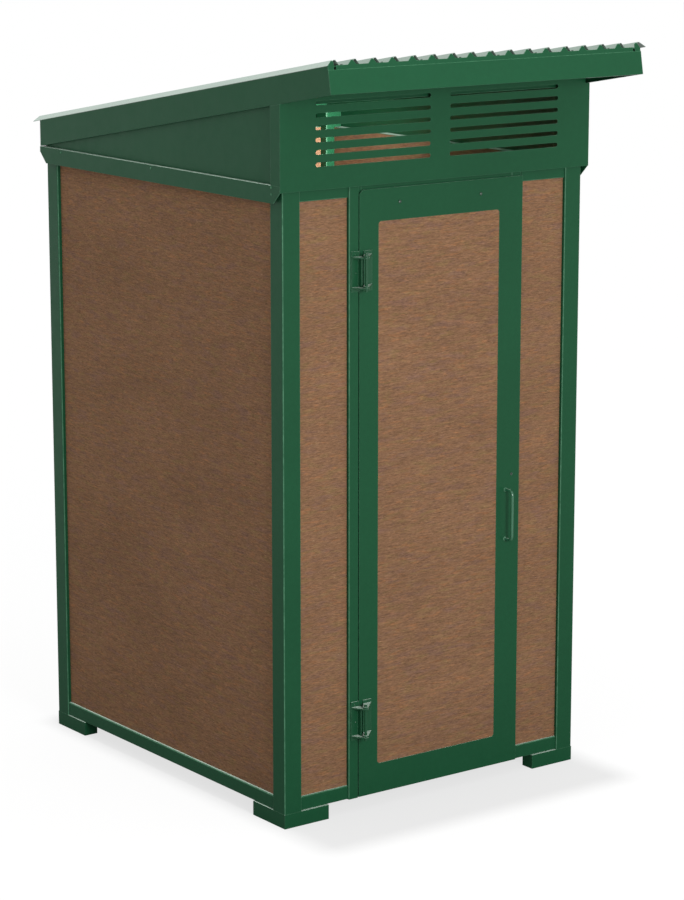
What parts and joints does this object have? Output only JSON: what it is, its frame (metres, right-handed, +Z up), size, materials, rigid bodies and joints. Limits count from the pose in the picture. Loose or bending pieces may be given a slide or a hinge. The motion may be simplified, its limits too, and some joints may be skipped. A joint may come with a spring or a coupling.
{
  "type": "garden outhouse",
  "caption": "Small outhouse cabin: painted steel frame on corner feet, wood-fibre board walls, hinged door, slotted vent panel and sloping corrugated roof.",
  "frame": {"origin": "on the ground, under the middle of the cabin's width and of the roof's length; the roof sheet reaches about 25 mm further out on the right than on the left", "axes": "+X to the right seen from the front, +Y from the door to the back, +Z up"},
  "size_m": [1.3155, 1.7992, 2.5624],
  "materials": {
    "green_paint": "dark green semi-gloss coat on steel",
    "wood_fibre_board": "brown wood-fibre board with fine level streaks",
    "roof_sheet_finish": "pale green coated sheet",
    "floor_steel": "dark coated sheet",
    "bare_steel": "plain steel, dulled"
  },
  "bodies": {
    "cabin": {"back_upper_panel": "green_paint", "bottom_rail_back": "green_paint", "bottom_rail_left": "green_paint", "bottom_rail_right": "green_paint", "bottom_rails_front": "green_paint", "crown_skirts": "green_paint", "door_jambs": "green_paint", "door_lintel": "green_paint", "door_sill": "green_paint", "fascia_back": "green_paint", "fascia_front": "green_paint", "fascia_left": "green_paint", "fascia_right": "green_paint", "floor_joists": "green_paint", "floor_sheet": "floor_steel", "foot_back_left": "green_paint", "foot_back_right": "green_paint", "foot_front_left": "green_paint", "foot_front_right": "green_paint", "front_boards": "wood_fibre_board", "front_wall_plate": "green_paint", "gable_sheets": "green_paint", "hinge_frame_plates": "green_paint", "hinge_pins": "green_paint", "post_back_left": "green_paint", "post_back_right": "green_paint", "post_front_left": "green_paint", "post_front_right": "green_paint", "purlins": "green_paint", "rafters": "green_paint", "roof_sheet": "roof_sheet_finish", "top_rail_back": "green_paint", "top_rail_left": "green_paint", "top_rail_right": "green_paint", "top_rails_front": "green_paint", "vent_panel": "green_paint", "wall_board_back": "wood_fibre_board", "wall_board_left": "wood_fibre_board", "wall_board_right": "wood_fibre_board"},
    "door": {"door_board": "wood_fibre_board", "door_handle": "green_paint", "door_lock": "bare_steel", "door_rails": "green_paint", "door_sheet": "green_paint", "door_stiles": "green_paint", "hinge_door_plates": "green_paint"}
  },
  "joints": [
    {"name": "door_hinge", "type": "hinge", "parent": "cabin", "child": "door", "pos_m": [-0.3215, -0.65461, 1.0865], "axis": [0, 0, -1], "range_deg": [0, 120]}
  ]
}
